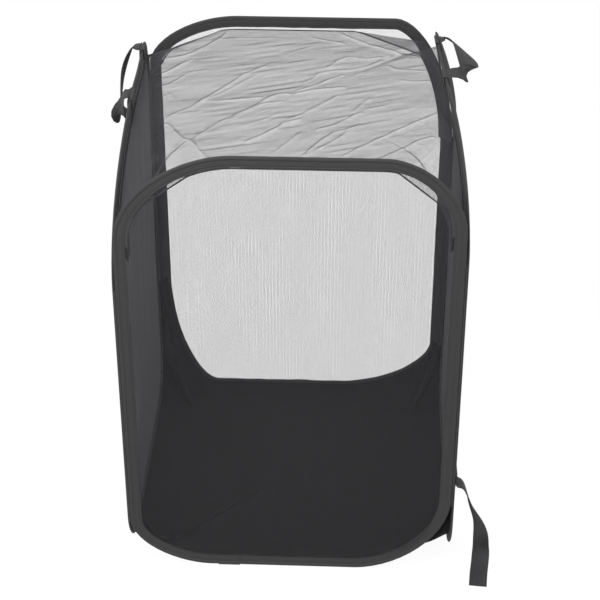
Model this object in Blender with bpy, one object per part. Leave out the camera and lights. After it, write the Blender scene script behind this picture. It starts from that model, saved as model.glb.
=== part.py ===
import math

import bmesh
import bpy
from mathutils import Vector

# Driving dimensions of the cage, in metres
CAGE_WIDTH = 0.36
CAGE_DEPTH = 0.346
CAGE_HEIGHT = 0.525

# Cloth, tape, webbing and wire thicknesses
TAPE_THICKNESS = 0.0005
NET_THICKNESS = 0.0006
FLOOR_THICKNESS = 0.0010
WEBBING_THICKNESS = 0.0012
WIRE_THICKNESS = 0.0014
CLEARANCE = 0.0003

# Widths of the sewn pieces
BINDING_WIDTH = 0.013
WIRE_WIDTH = 0.0030
WEBBING_WIDTH = 0.020
TOP_HEM_WIDTH = 0.004
CORNER_SEAM_RADIUS = 0.0006

# How deep an edge is tucked in a binding, and where the top and floor are sewn to it
NET_TUCK = 0.006
TOP_SEAM_INSET = 0.0155
FLOOR_SEAM_INSET = 0.009

# How high the floor's turned-up edge goes at each hoop's right and left
FLOOR_RISES = {
    "front": (0.100, 0.070),
    "right": (0.080, 0.100),
    "back": (0.167, 0.080),
    "left": (0.070, 0.167),
}

# How far below the crown the top's seam ends at each hoop's right and left
TOP_SEAM_DEPTHS = {
    "front": (0.105, 0.125),
    "right": (0.070, 0.105),
    "back": (0.060, 0.095),
    "left": (0.125, 0.070),
}

# Where the top's seam cuts across a rounded corner: from s, right and left, down to a depth
TOP_SEAM_CUTS = {"front": (0.110, 0.100, 0.055), "back": (0.100, 0.068, 0.039)}

# Inward bow of the side hoops' crowns, the right one's nod at its back corner, cloth slack
LEFT_BOW = 0.010
RIGHT_BOW = 0.013
RIGHT_NOD = 0.030
NOD_DEPTH = 0.115
NOD_POWER = 1.5
NET_BULGE = 0.004
NET_FOLD = 0.003
NET_FOLD_PITCH = 0.15
TOP_SAG = 0.004
TOP_FOLD = 0.0025
TOP_FOLD_PITCH = 0.11
FLOOR_TURN_WIDTH = 0.055

# Joint of each wire hoop and of its binding, and how far the front one lies from its left foot's curve
FERRULE_LENGTH = 0.016
JOIN_LENGTH = 0.024
FRONT_JOIN_SETOFF = 0.0211

# Carry handles: where each is sewn along its hoop's top, and how far it stands out and hangs
LEFT_HANDLE_FRONT = 0.033
LEFT_HANDLE_BACK = -0.082
LEFT_HANDLE_REACH = 0.019
LEFT_HANDLE_DROOP = 0.058
RIGHT_HANDLE_FRONT = 0.024
RIGHT_HANDLE_BACK = 0.115
RIGHT_HANDLE_REACH = 0.032
RIGHT_HANDLE_DROOP = 0.012
ANCHOR_INNER_DROP = 0.011
ANCHOR_OUTER_DROP = 0.009

# Closing strap
STRAP_HEIGHT = 0.118
STRAP_ROOT_INSET = 0.0115
STRAP_ROOT_LENGTH = 0.016
STRAP_REACH = 0.034
STRAP_FORWARD = 0.0385

# Reach of the rounded corners, along and up each hoop, and how full their curve is
CORNER_RADIUS = 0.10
CORNER_FULLNESS = 1.8
CORNER_SHARES = {
    "front": ((1.05, 0.98), (0.83, 0.82), (1.22, 0.98), (0.89, 0.60)),
    "right": ((0.70, 0.62), (0.36, 0.70), (1.45, 1.20), (0.70, 0.62)),
    "back": ((0.67, 1.65), (1.03, 0.61), (0.71, 1.50), (1.27, 0.77)),
    "left": ((0.70, 0.62), (1.65, 1.60), (0.95, 0.70), (0.70, 0.62)),
}

# Counts of segments
CORNER_STEPS = 7
UPRIGHT_STEPS = 5
LEVEL_STEPS = 3
RIBBON_STEPS = 24
TOP_FACE = 2

# Section levels of a binding, measured outward from the seam plane of its hoop
INNER_FACE = CLEARANCE / 2
INNER_WALL = INNER_FACE + TAPE_THICKNESS
WIRE_TOP = INNER_WALL + CLEARANCE + WIRE_THICKNESS
PIPING_TOP = WIRE_TOP + CLEARANCE + TAPE_THICKNESS
MOUTH_TOP = INNER_WALL + CLEARANCE + NET_THICKNESS + CLEARANCE + TAPE_THICKNESS
NET_LEVEL = INNER_WALL + CLEARANCE + NET_THICKNESS / 2
WIRE_START = TAPE_THICKNESS + CLEARANCE
PIPING_END = WIRE_START + WIRE_WIDTH + CLEARANCE
EDGE_SETBACK = CORNER_SEAM_RADIUS + CLEARANCE
BASE_LIFT = TAPE_THICKNESS + CLEARANCE

for old in list(bpy.data.objects):
    bpy.data.objects.remove(old, do_unlink=True)


# A hoop's place: its middle, the way along it and the way out of the cage
class Hoop:
    def __init__(self, name, middle, along, out, half_span, bow=0, nod=0, join=0):
        self.name = name
        self.join = join
        self.middle = Vector(middle)
        self.along = Vector(along)
        self.out = Vector(out)
        self.half_span = half_span
        self.bow = bow
        self.nod = nod
        self.outline = hoop_outline(half_span - EDGE_SETBACK, CORNER_SHARES[name])

    # A point at s along the hoop and z up it, n outward from its seam plane
    def place(self, s, z, n):
        share = s / self.half_span
        ramp = max(0, 1 - (CAGE_HEIGHT - z) / NOD_DEPTH) ** NOD_POWER
        lean = self.bow * (1 - share ** 2) * (z / CAGE_HEIGHT) ** 2 + self.nod * ((1 + share) / 2) ** 2 * ramp
        return self.middle + self.along * s + self.out * (n - lean) + Vector((0, 0, z))


# Points of one rounded corner, from the upright side to the level side
def corner_curve(reach, rise):
    points = []
    for step in range(CORNER_STEPS + 1):
        turn = math.pi / 2 * step / CORNER_STEPS
        power = 2 / CORNER_FULLNESS
        points.append((reach * (1 - math.cos(turn) ** power), rise * (1 - math.sin(turn) ** power)))
    return points


# The stations between two points of a straight run, ends left out
def between(start, end, steps):
    points = []
    for step in range(1, steps):
        share = step / steps
        points.append((start[0] + (end[0] - start[0]) * share, start[1] + (end[1] - start[1]) * share))
    return points


# The closed outline of a hoop's outer edge, anticlockwise from its lower right corner
def hoop_outline(half, shares):
    low = BASE_LIFT
    high = CAGE_HEIGHT
    low_right, high_right, high_left, low_left = [
        corner_curve(CORNER_RADIUS * along, CORNER_RADIUS * up) for along, up in shares
    ]
    right_foot = [(half - x, low + z) for x, z in low_right]
    right_head = [(half - x, high - z) for x, z in high_right]
    left_head = [(-half + x, high - z) for x, z in high_left]
    left_foot = [(-half + x, low + z) for x, z in low_left]
    right_foot.reverse()
    left_head.reverse()
    loop = right_foot + between(right_foot[-1], right_head[0], UPRIGHT_STEPS)
    loop += right_head + between(right_head[-1], left_head[0], LEVEL_STEPS)
    loop += left_head + between(left_head[-1], left_foot[0], UPRIGHT_STEPS)
    loop += left_foot + between(left_foot[-1], right_foot[0], LEVEL_STEPS)
    return loop


# A closed outline moved inward by a distance, its edges kept parallel
def inset_loop(loop, distance):
    moved = []
    for index, point in enumerate(loop):
        here = Vector(point)
        before = (here - Vector(loop[index - 1])).normalized()
        after = (Vector(loop[(index + 1) % len(loop)]) - here).normalized()
        first = Vector((-before.y, before.x))
        second = Vector((-after.y, after.x))
        shift = (first + second) * (distance / (1 + first.dot(second)))
        moved.append((here.x + shift.x, here.y + shift.y))
    return moved


# An open line of section points moved to its left by a distance
def offset_line(line, distance):
    moved = []
    last = len(line) - 1
    for index, point in enumerate(line):
        here = Vector(point)
        before = (here - Vector(line[max(index - 1, 0)])) if index else (Vector(line[1]) - here)
        after = (Vector(line[min(index + 1, last)]) - here) if index < last else before
        before = before.normalized()
        after = after.normalized()
        first = Vector((-before.y, before.x))
        second = Vector((-after.y, after.x))
        shift = (first + second) * (distance / (1 + first.dot(second)))
        moved.append((here.x + shift.x, here.y + shift.y))
    return moved


# A closed section wall: the line and the same line offset, as one loop of points
def wall_section(line, thickness):
    return line + list(reversed(offset_line(line, thickness)))


def material(name, colour, roughness, metallic=0.0):
    made = bpy.data.materials.new(name)
    made.use_nodes = True
    shader = made.node_tree.nodes["Principled BSDF"]
    shader.inputs["Base Color"].default_value = (*colour, 1)
    shader.inputs["Roughness"].default_value = roughness
    shader.inputs["Metallic"].default_value = metallic
    return made


FINISHES = {
    "tape": ((0.055, 0.054, 0.056), 0.75, 0.0),
    "net": ((0.030, 0.030, 0.032), 0.80, 0.0),
    "floor": ((0.026, 0.025, 0.027), 0.85, 0.0),
    "webbing": ((0.035, 0.035, 0.037), 0.80, 0.0),
    "thread": ((0.020, 0.020, 0.021), 0.70, 0.0),
    "steel": ((0.42, 0.43, 0.45), 0.35, 1.0),
}


# A finished object from a bmesh, its origin moved to a pivot
def finish(name, shape, kind, pivot=(0, 0, 0), smooth=True):
    bmesh.ops.recalc_face_normals(shape, faces=shape.faces)
    bmesh.ops.translate(shape, verts=shape.verts, vec=-Vector(pivot))
    mesh = bpy.data.meshes.new(name)
    shape.to_mesh(mesh)
    shape.free()
    made = bpy.data.objects.new(name, mesh)
    made.location = pivot
    bpy.context.scene.collection.objects.link(made)
    colour, roughness, metallic = FINISHES[kind]
    mesh.materials.append(material(name + "_" + kind, colour, roughness, metallic))
    if smooth:
        mesh.shade_smooth()
        mesh.set_sharp_from_angle(angle=math.radians(35))
    return made


# Quads between two rings of the same count
def bridge(shape, first, second, closed=True):
    count = len(first)
    for index in range(count if closed else count - 1):
        after = (index + 1) % count
        shape.faces.new((first[index], first[after], second[after], second[index]))


# A solid swept through rings of points, closed on itself or capped at both ends
def swept(name, rings, kind, closed, pivot=(0, 0, 0)):
    shape = bmesh.new()
    made = [[shape.verts.new(point) for point in ring] for ring in rings]
    for first, second in zip(made, made[1:]):
        bridge(shape, first, second)
    if closed:
        bridge(shape, made[-1], made[0])
    else:
        shape.faces.new(made[0])
        shape.faces.new(reversed(made[-1]))
    return finish(name, shape, kind, pivot)


# A sheet of cloth from rings drawn in to a middle point, given its thickness
def cloth_sheet(name, rings, middle, thickness, side, kind):
    shape = bmesh.new()
    made = [[shape.verts.new(point) for point in ring] for ring in rings]
    for first, second in zip(made, made[1:]):
        bridge(shape, first, second)
    centre = shape.verts.new(middle)
    inner = made[-1]
    for index, vert in enumerate(inner):
        shape.faces.new((vert, inner[(index + 1) % len(inner)], centre))
    sheet = finish(name, shape, kind)
    wall = sheet.modifiers.new("cloth", "SOLIDIFY")
    wall.thickness = thickness
    wall.offset = side
    return sheet


FRONT_FOOT_END = EDGE_SETBACK - CAGE_WIDTH / 2 + CORNER_RADIUS * CORNER_SHARES["front"][3][0]
FRONT_JOIN = FRONT_FOOT_END + FRONT_JOIN_SETOFF
HOOPS = {
    "front": Hoop("front", (0, -CAGE_DEPTH / 2, 0), (1, 0, 0), (0, -1, 0), CAGE_WIDTH / 2, join=FRONT_JOIN),
    "right": Hoop("right", (CAGE_WIDTH / 2, 0, 0), (0, 1, 0), (1, 0, 0), CAGE_DEPTH / 2, RIGHT_BOW, RIGHT_NOD),
    "back": Hoop("back", (0, CAGE_DEPTH / 2, 0), (-1, 0, 0), (0, 1, 0), CAGE_WIDTH / 2),
    "left": Hoop("left", (-CAGE_WIDTH / 2, 0, 0), (0, -1, 0), (-1, 0, 0), CAGE_DEPTH / 2, LEFT_BOW),
}


# The outer face of a binding's section: inner leg, edge over the wire, piping, outer leg
def binding_line():
    slope = PIPING_TOP - MOUTH_TOP
    return [
        (BINDING_WIDTH, INNER_FACE),
        (0, INNER_FACE),
        (0, PIPING_TOP),
        (PIPING_END, PIPING_TOP),
        (PIPING_END + slope, MOUTH_TOP),
        (BINDING_WIDTH, MOUTH_TOP),
    ]


# The folded tape round a hoop, open on its inner side where the net goes in
def make_binding(hoop):
    section = wall_section(binding_line(), -TAPE_THICKNESS)
    loops = [inset_loop(hoop.outline, r) for r, n in section]
    rings = []
    for station in range(len(hoop.outline)):
        rings.append([hoop.place(*loop[station], n) for loop, (r, n) in zip(loops, section)])
    return swept(hoop.name + "_binding", rings, "tape", True)


# The stations of the wire: all the way round from one side of its joint to the other
def wire_line(hoop, inset):
    loop = inset_loop(hoop.outline, inset)
    base = loop[-1][1]
    gap = FERRULE_LENGTH / 2 + CLEARANCE
    low = sorted(point for point in loop if point[1] < base + CLEARANCE)
    upper = [point for point in loop if point[1] >= base + CLEARANCE]
    first = [(hoop.join + gap, base)] + [point for point in low if point[0] > hoop.join + gap]
    last = [point for point in low if point[0] < hoop.join - gap] + [(hoop.join - gap, base)]
    return first + upper + last


# The sprung wire hoop inside the binding, open at its joint
def make_wire(hoop):
    lines = []
    for inset, level in wire_corners():
        lines.append([hoop.place(s, z, level) for s, z in wire_line(hoop, inset)])
    rings = [list(ring) for ring in zip(*lines)]
    return swept(hoop.name + "_wire", rings, "steel", False)


# The four edges of the flat wire, as inset from the hoop's edge and level outward
def wire_corners():
    near = WIRE_START
    far = WIRE_START + WIRE_WIDTH
    under = INNER_WALL + CLEARANCE
    return [(near, under), (far, under), (far, WIRE_TOP), (near, WIRE_TOP)]


# The short sleeve that closes the wire hoop
def make_ferrule(hoop):
    rings = []
    for s in (hoop.join - FERRULE_LENGTH / 2, hoop.join + FERRULE_LENGTH / 2):
        rings.append([hoop.place(s, BASE_LIFT + inset, level) for inset, level in wire_corners()])
    return swept(hoop.name + "_ferrule", rings, "steel", False)


# The tape's end, lapped over its start on the outer side of the hoop
def make_join(hoop):
    outer = binding_line()[1:]
    outer[0] = (0, INNER_FACE)
    lifted = offset_line(outer, CLEARANCE)
    section = wall_section(lifted, TAPE_THICKNESS)
    rings = []
    for s in (hoop.join - JOIN_LENGTH / 2, hoop.join, hoop.join + JOIN_LENGTH / 2):
        rings.append([hoop.place(s, BASE_LIFT + inset, level) for inset, level in section])
    return swept(hoop.name + "_binding_join", rings, "tape", False)


# How far a panel of net stands off its seam plane, with its soft slanting folds
def net_ease(s, z, share):
    hold = 1 - share ** 2
    wave = math.sin(2 * math.pi * (s + z / 2) / NET_FOLD_PITCH)
    return NET_BULGE * hold + NET_FOLD * hold * wave


NET_RING_SHARES = (1.0, 0.86, 0.66, 0.42, 0.20)


# A panel of net, its edge tucked in the binding's mouth
def make_net(hoop):
    edge = inset_loop(hoop.outline, BINDING_WIDTH - NET_TUCK)
    mouth = inset_loop(hoop.outline, BINDING_WIDTH + CLEARANCE)
    middle_z = CAGE_HEIGHT / 2
    rings = [[hoop.place(s, z, NET_LEVEL) for s, z in edge]]
    for share in NET_RING_SHARES:
        ring = []
        for s, z in mouth:
            s_in = s * share
            z_in = middle_z + (z - middle_z) * share
            ring.append(hoop.place(s_in, z_in, NET_LEVEL + net_ease(s_in, z_in, share)))
        rings.append(ring)
    middle = hoop.place(0, middle_z, NET_LEVEL + net_ease(0, middle_z, 0))
    return cloth_sheet(hoop.name + "_net", rings, middle, NET_THICKNESS, 0, "net")


# The points where the top is sewn to one hoop, from its right to its left
def top_seam(hoop):
    loop = inset_loop(hoop.outline, TOP_SEAM_INSET)
    right_depth, left_depth = TOP_SEAM_DEPTHS[hoop.name]
    right_cut, left_cut, cut_depth = TOP_SEAM_CUTS.get(hoop.name, (CAGE_WIDTH, CAGE_WIDTH, 0))
    cut_end = CAGE_HEIGHT - cut_depth
    run = []
    for first, second in zip(loop, loop[1:]):
        depth, cut = (right_depth, right_cut) if first[0] > 0 else (left_depth, left_cut)
        low = CAGE_HEIGHT - depth
        if min(first[1], second[1]) < low <= max(first[1], second[1]):
            share = (low - first[1]) / (second[1] - first[1])
            run.append((first[0] + (second[0] - first[0]) * share, low))
        if second[1] > low and (abs(second[0]) <= cut or second[1] <= cut_end):
            run.append(second)
    return run


# The points where the floor is sewn to one hoop, from its left to its right
def floor_seam(hoop):
    loop = inset_loop(hoop.outline, FLOOR_SEAM_INSET)
    turn = min(index for index, point in enumerate(loop) if point[0] < 0)
    loop = loop[turn:] + loop[:turn]
    run = []
    for first, second in zip(loop, loop[1:]):
        high = FLOOR_RISES[hoop.name][0 if second[0] > 0 else 1]
        if min(first[1], second[1]) < high <= max(first[1], second[1]):
            share = (high - first[1]) / (second[1] - first[1])
            run.append((first[0] + (second[0] - first[0]) * share, high))
        if second[1] < high:
            run.append(second)
    return run


# The closed ring of a seam, hoop by hoop round the cage, just inside the bindings
def seam_ring(seam, names, level):
    ring = []
    for name in names:
        hoop = HOOPS[name]
        ring += [hoop.place(s, z, level) for s, z in seam(hoop)]
    return ring


# A ring drawn in toward the cage's middle by a distance, level
def drawn_in(ring, distance):
    moved = []
    for point in ring:
        flat = Vector((point.x, point.y, 0))
        moved.append(point - flat.normalized() * distance)
    return moved


TOP_RING_SHARES = (0.92, 0.80, 0.60, 0.38, 0.16)
TOP_FALL_POWER = 6
SEAM_ORDER = ("left", "back", "right", "front")
FLOOR_ORDER = ("front", "right", "back", "left")


def make_top_net():
    level = INNER_FACE - CLEARANCE
    ring = seam_ring(top_seam, SEAM_ORDER, level)
    hem = drawn_in(ring, TOP_HEM_WIDTH + NET_THICKNESS + CLEARANCE)
    crown = CAGE_HEIGHT - TOP_SEAM_INSET - TOP_SAG
    rings = [hem]
    for share in TOP_RING_SHARES:
        inner = []
        for point in hem:
            x = point.x * share
            y = point.y * share
            wave = math.sin(2 * math.pi * (y - x / 2) / TOP_FOLD_PITCH) * TOP_FOLD * (1 - share)
            inner.append(Vector((x, y, crown + (point.z - crown) * share ** TOP_FALL_POWER + wave)))
        rings.append(inner)
    return cloth_sheet("top_net", rings, (0, 0, crown), NET_THICKNESS, 0, "net")


# The narrow hem round the edge of the top, sewn to the bindings
def make_top_hem():
    ring = seam_ring(top_seam, SEAM_ORDER, INNER_FACE - CLEARANCE)
    inner = drawn_in(ring, TOP_HEM_WIDTH)
    rings = []
    for index, (edge, inside) in enumerate(zip(ring, inner)):
        ahead = ring[(index + 1) % len(ring)] - ring[index - 1]
        lift = ahead.cross(edge - inside).normalized() * (TAPE_THICKNESS / 2)
        rings.append([edge + lift, inside + lift, inside - lift, edge - lift])
    return swept("top_hem", rings, "tape", True)


FLOOR_RING_SHARES = (0.92, 0.80, 0.50)


# The floor: flat on the ground, its edge turned up to the bindings and up the corners
def make_floor():
    ring = seam_ring(floor_seam, FLOOR_ORDER, INNER_FACE - CLEARANCE - FLOOR_THICKNESS)
    rings = [ring]
    reach = max(Vector((point.x, point.y)).length for point in ring)
    for share in FLOOR_RING_SHARES:
        inner = []
        for point in ring:
            span = Vector((point.x, point.y)).length
            walk = span * (1 - share)
            ease = FLOOR_TURN_WIDTH * span / reach
            rise = max(0, 1 - walk / ease) ** 2
            inner.append(Vector((point.x * share, point.y * share, point.z * rise)))
        rings.append(inner)
    return cloth_sheet("floor_cloth", rings, (0, 0, 0), FLOOR_THICKNESS, -1, "floor")


# The seam roll where two hoops are sewn together up a corner, on the fold's axis
def make_corner_seam(name, first, second):
    right = HOOPS[first]
    left = HOOPS[second]
    foot = max(CORNER_SHARES[first][0][1], CORNER_SHARES[second][3][1]) * CORNER_RADIUS
    head = max(CORNER_SHARES[first][1][1], CORNER_SHARES[second][2][1]) * CORNER_RADIUS
    low = foot + BASE_LIFT
    high = CAGE_HEIGHT - head
    axis = right.middle + right.along * right.half_span
    shape = bmesh.new()
    bmesh.ops.create_cone(shape, cap_ends=True, segments=8, radius1=CORNER_SEAM_RADIUS,
                          radius2=CORNER_SEAM_RADIUS, depth=high - low)
    bmesh.ops.translate(shape, verts=shape.verts, vec=axis + Vector((0, 0, (low + high) / 2)))
    return finish(name, shape, "thread", axis)


# A smooth run of points through hand-set ones
def smooth_run(points, steps):
    spots = [Vector(point) for point in points]
    padded = [spots[0] * 2 - spots[1]] + spots + [spots[-1] * 2 - spots[-2]]
    spans = len(spots) - 1
    run = []
    for step in range(steps + 1):
        walk = spans * step / steps
        span = min(int(walk), spans - 1)
        t = walk - span
        a, b, c, d = padded[span:span + 4]
        point = (b * 2 + (c - a) * t + (a * 2 - b * 5 + c * 4 - d) * t ** 2
                 + (b * 3 - a - c * 3 + d) * t ** 3) / 2
        run.append(point)
    return run


# A twisting strip through its rings, both faces cut along the same diagonals
def strip_solid(name, rings, pivot):
    shape = bmesh.new()
    made = [[shape.verts.new(point) for point in ring] for ring in rings]
    for first, second in zip(made, made[1:]):
        for index in range(len(first)):
            after = (index + 1) % len(first)
            corners = (first[index], first[after], second[after], second[index])
            if index == TOP_FACE:
                corners = corners[1:] + corners[:1]
            shape.faces.new(corners[:3])
            shape.faces.new((corners[0], corners[2], corners[3]))
    shape.faces.new(made[0])
    shape.faces.new(reversed(made[-1]))
    return finish(name, shape, "webbing", pivot)


# A strip of webbing along hand-set points, its width direction eased from point to point
def ribbon(name, points, widths, pivot, lowest=0):
    run = smooth_run(points, RIBBON_STEPS)
    across = smooth_run(widths, RIBBON_STEPS)
    for point in run:
        point.z = max(point.z, lowest)
    rings = []
    for index, point in enumerate(run):
        ahead = run[min(index + 1, RIBBON_STEPS)] - run[max(index - 1, 0)]
        if index == 0:
            ahead = Vector(points[1]) - Vector(points[0])
        if index == RIBBON_STEPS:
            ahead = Vector(points[-1]) - Vector(points[-2])
        ahead.normalize()
        side = across[index] - ahead * across[index].dot(ahead)
        side = side.normalized() * (WEBBING_WIDTH / 2)
        up = ahead.cross(side).normalized() * (WEBBING_THICKNESS / 2)
        rings.append([point - side - up, point + side - up, point + side + up, point - side + up])
    return strip_solid(name, rings, pivot)


# A point of a hoop's crown at s, on its outline moved in by an inset, at a level outward
def crown_point(hoop, s, inset, level):
    loop = inset_loop(hoop.outline, inset)
    for first, second in zip(loop, loop[1:]):
        if second[0] <= s <= first[0] and min(first[1], second[1]) > CAGE_HEIGHT / 2:
            share = (s - second[0]) / (first[0] - second[0])
            return hoop.place(*second, level).lerp(hoop.place(*first, level), share)


# The sewn end of a handle, folded over the binding
def make_handle_end(name, hoop, middle):
    line = [
        (ANCHOR_INNER_DROP, INNER_FACE),
        (0, INNER_FACE),
        (0, PIPING_TOP),
        (ANCHOR_OUTER_DROP, PIPING_TOP),
    ]
    lifted = offset_line(line, CLEARANCE)
    section = wall_section(lifted, WEBBING_THICKNESS)
    near = middle - WEBBING_WIDTH / 2
    far = middle + WEBBING_WIDTH / 2
    turns = sorted(s for s, z in hoop.outline if near < s < far and z > CAGE_HEIGHT / 2)
    rings = []
    for s in [near] + turns + [far]:
        rings.append([crown_point(hoop, s, inset, level) for inset, level in section])
    return swept(name, rings, "webbing", False)


# The axis that a loop flops on, off the outer top edges of its sewn ends
FLOP_STANDOFF = (WEBBING_THICKNESS / 2 + CLEARANCE) * math.sin(math.pi / 4)
HANDLE_AXIS_OUT = PIPING_TOP + CLEARANCE + WEBBING_THICKNESS + FLOP_STANDOFF
HANDLE_AXIS_UP = CLEARANCE + WEBBING_THICKNESS + FLOP_STANDOFF
HANDLE_OUT_SHARES = (0.0, 0.30, 0.74, 1.0, 0.74, 0.30, 0.0)
HANDLE_DROP_SHARES = (0.0, 0.10, 0.62, 1.0, 0.62, 0.10, 0.0)
HANDLE_ALONG_SHARES = (-1.0, -1.0, -0.88, -0.38, 0.65, 1.0, 1.0)
HANDLE_TILT = 0.6


# The free loop of a handle, hanging outside the cage
def make_handle_loop(name, hoop, front, back, reach, droop):
    ends = []
    for s in (front, back):
        ends.append(crown_point(hoop, s, -HANDLE_AXIS_UP, HANDLE_AXIS_OUT))
    pivot = (ends[0] + ends[1]) / 2
    along = (ends[1] - ends[0]).normalized()
    out = (hoop.out - along * hoop.out.dot(along)).normalized()
    down = out.cross(along)
    down = down if down.z < 0 else -down
    half = (ends[1] - ends[0]).length / 2
    points = []
    widths = []
    for away, drop, share in zip(HANDLE_OUT_SHARES, HANDLE_DROP_SHARES, HANDLE_ALONG_SHARES):
        points.append(pivot + along * share * half + out * away * reach + down * drop * droop)
        turn = math.pi / 2 * away ** 2
        widths.append(along * math.cos(turn) + (out - down * HANDLE_TILT) * math.sin(turn))
    return ribbon(name, points, widths, pivot)


def make_handle(hoop, front, back, reach, droop):
    make_handle_end(hoop.name + "_handle_front_end", hoop, front)
    make_handle_end(hoop.name + "_handle_back_end", hoop, back)
    make_handle_loop(hoop.name + "_handle_loop", hoop, front, back, reach, droop)


STRAP_OUT_SHARES = (0.0, 0.235, 0.484, 0.85, 0.97, 0.955, 0.88, 0.82)
STRAP_FORWARD_SHARES = (0.0, 0.0, 0.07, -0.04, -0.35, -0.09, 0.43, 1.0)
STRAP_HEIGHT_SHARES = (1.0, 0.949, 0.762, 0.473, 0.15, 0.03, 0.0, 0.0)
STRAP_WIDTH_SHARES = (
    (0, -1, 0), (0, -0.97, 0.2), (0.05, -0.84, 0.53), (0.55, -0.75, 0.35),
    (0.85, -0.45, 0.1), (0.97, -0.2, 0), (1, -0.05, 0), (1, 0.08, 0),
)


# The closing strap's sewn root on the right binding, and the strap down to the ground
def make_closing_strap():
    hoop = HOOPS["right"]
    under = PIPING_TOP + CLEARANCE
    over = under + WEBBING_THICKNESS
    root_s = STRAP_ROOT_INSET - hoop.half_span
    near = root_s - WEBBING_WIDTH / 2
    far = root_s + WEBBING_WIDTH / 2
    low = STRAP_HEIGHT + FLOP_STANDOFF
    rings = []
    for z in (low, low + STRAP_ROOT_LENGTH):
        rings.append([
            hoop.place(near, z, under), hoop.place(far, z, under),
            hoop.place(far, z, over), hoop.place(near, z, over),
        ])
    swept("closing_strap_root", rings, "webbing", False)
    start = hoop.place(root_s, STRAP_HEIGHT, over + FLOP_STANDOFF)
    rest = WEBBING_THICKNESS / 2
    points = []
    for out, forward, height in zip(STRAP_OUT_SHARES, STRAP_FORWARD_SHARES, STRAP_HEIGHT_SHARES):
        drop = (start.z - rest) * (1 - height)
        points.append(start + Vector((out * STRAP_REACH, -forward * STRAP_FORWARD, -drop)))
    ribbon("closing_strap", points, STRAP_WIDTH_SHARES, start, rest)


for hoop in HOOPS.values():
    make_wire(hoop)
    make_ferrule(hoop)
    make_binding(hoop)
    make_join(hoop)
    make_net(hoop)
make_top_net()
make_top_hem()
make_floor()
make_corner_seam("front_right_corner_seam", "front", "right")
make_corner_seam("back_right_corner_seam", "right", "back")
make_corner_seam("back_left_corner_seam", "back", "left")
make_corner_seam("front_left_corner_seam", "left", "front")
make_handle(HOOPS["left"], LEFT_HANDLE_FRONT, LEFT_HANDLE_BACK, LEFT_HANDLE_REACH, LEFT_HANDLE_DROOP)
make_handle(HOOPS["right"], RIGHT_HANDLE_FRONT, RIGHT_HANDLE_BACK, RIGHT_HANDLE_REACH, RIGHT_HANDLE_DROOP)
make_closing_strap()
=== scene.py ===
import math

import bmesh
import bpy
import numpy as np
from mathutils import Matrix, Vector


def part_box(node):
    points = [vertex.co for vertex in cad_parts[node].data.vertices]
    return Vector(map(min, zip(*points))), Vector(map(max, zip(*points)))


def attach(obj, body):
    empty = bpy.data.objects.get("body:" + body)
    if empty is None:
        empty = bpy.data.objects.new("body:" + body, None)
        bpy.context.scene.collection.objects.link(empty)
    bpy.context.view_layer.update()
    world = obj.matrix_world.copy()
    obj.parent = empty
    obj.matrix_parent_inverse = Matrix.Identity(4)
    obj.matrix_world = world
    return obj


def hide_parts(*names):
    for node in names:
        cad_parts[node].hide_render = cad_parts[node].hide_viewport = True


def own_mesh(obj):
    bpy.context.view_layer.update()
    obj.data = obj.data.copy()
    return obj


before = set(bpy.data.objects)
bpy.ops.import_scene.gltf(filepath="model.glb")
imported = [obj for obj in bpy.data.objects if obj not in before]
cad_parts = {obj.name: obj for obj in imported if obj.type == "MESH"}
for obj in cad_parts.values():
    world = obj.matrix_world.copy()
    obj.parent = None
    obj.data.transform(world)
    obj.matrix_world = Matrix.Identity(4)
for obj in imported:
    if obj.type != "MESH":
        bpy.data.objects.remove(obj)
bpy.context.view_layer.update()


# The view. A long lens a little above the cage's top, almost square to the front panel.
# The lens is shifted a few pixels so that the cage sits in the picture as it does in the photograph.
VIEW_TURN = 0.04166
VIEW_RISE = 0.55914
VIEW_DISTANCE = 1.9093
VIEW_TARGET = Vector((0, 0, 0.2625))
FOCAL_PIXELS = 1662.9
PICTURE_PIXELS = 600
LENS_MIDDLE = (295.98, 290.13)
SENSOR_WIDTH = 36

back_along_view = Vector((
    math.sin(VIEW_TURN) * math.cos(VIEW_RISE),
    -math.cos(VIEW_TURN) * math.cos(VIEW_RISE),
    math.sin(VIEW_RISE),
))
lens = bpy.data.cameras.new("studio_camera")
lens.sensor_width = SENSOR_WIDTH
lens.lens = SENSOR_WIDTH * FOCAL_PIXELS / PICTURE_PIXELS
lens.shift_x = 0.5 - LENS_MIDDLE[0] / PICTURE_PIXELS
lens.shift_y = LENS_MIDDLE[1] / PICTURE_PIXELS - 0.5
camera = bpy.data.objects.new("studio_camera", lens)
camera.rotation_mode = "QUATERNION"
camera.rotation_quaternion = (-back_along_view).to_track_quat("-Z", "Y")
camera.location = VIEW_TARGET + back_along_view * VIEW_DISTANCE
bpy.context.scene.collection.objects.link(camera)
bpy.context.scene.camera = camera
bpy.context.scene.view_settings.view_transform = "Standard"


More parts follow.
